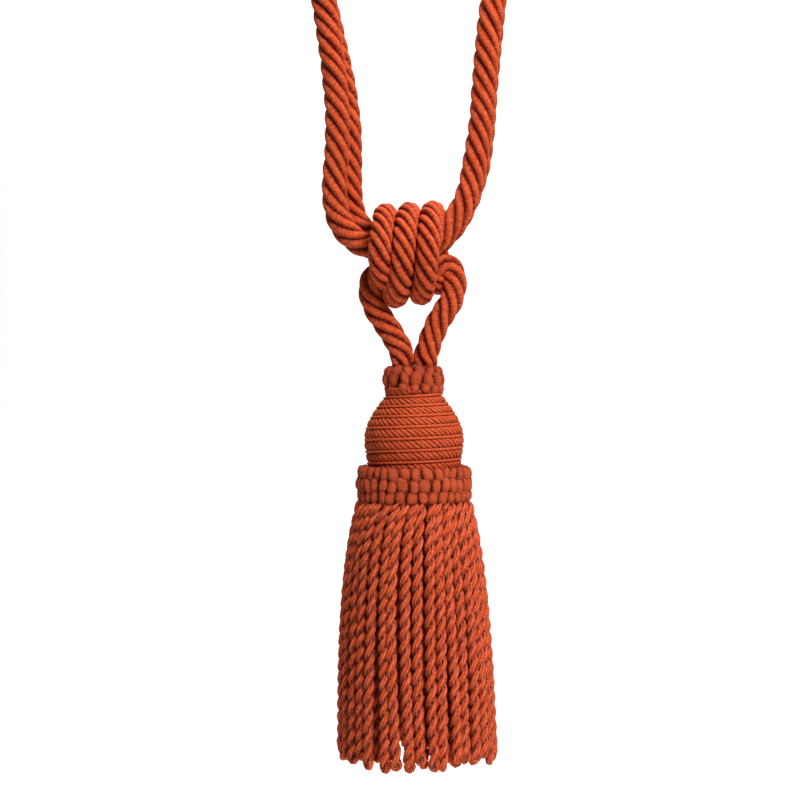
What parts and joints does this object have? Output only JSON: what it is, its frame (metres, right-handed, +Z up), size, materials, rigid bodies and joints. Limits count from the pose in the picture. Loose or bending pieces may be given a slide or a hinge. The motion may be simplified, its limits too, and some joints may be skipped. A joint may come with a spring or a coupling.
{
  "type": "curtain tieback",
  "caption": "Hanging rope curtain tieback: doubled rope arms with eyes, a wrapped knot, and a tassel with a bullion fringe skirt.",
  "frame": {"origin": "the hanging point: between the two eyes and level with the inner top of each", "axes": "+Z up along the hanging tieback, +X to the right of someone facing it, -Y towards that person"},
  "size_m": [0.1511, 0.0726, 0.4526],
  "materials": {
    "rope_yarn": "satin twisted yarn",
    "head_yarn": "wound cord and smooth thread",
    "ruff_yarn": "knotted yarn",
    "bullion_yarn": "two-ply twisted cord"
  },
  "bodies": {
    "root": {"embrace_left": "rope_yarn", "embrace_right": "rope_yarn", "knot_wraps": "rope_yarn", "tassel_loop": "rope_yarn", "neck_ruff": "ruff_yarn", "head": "head_yarn", "collar_ruff": "ruff_yarn", "skirt": "bullion_yarn"}
  },
  "joints": []
}
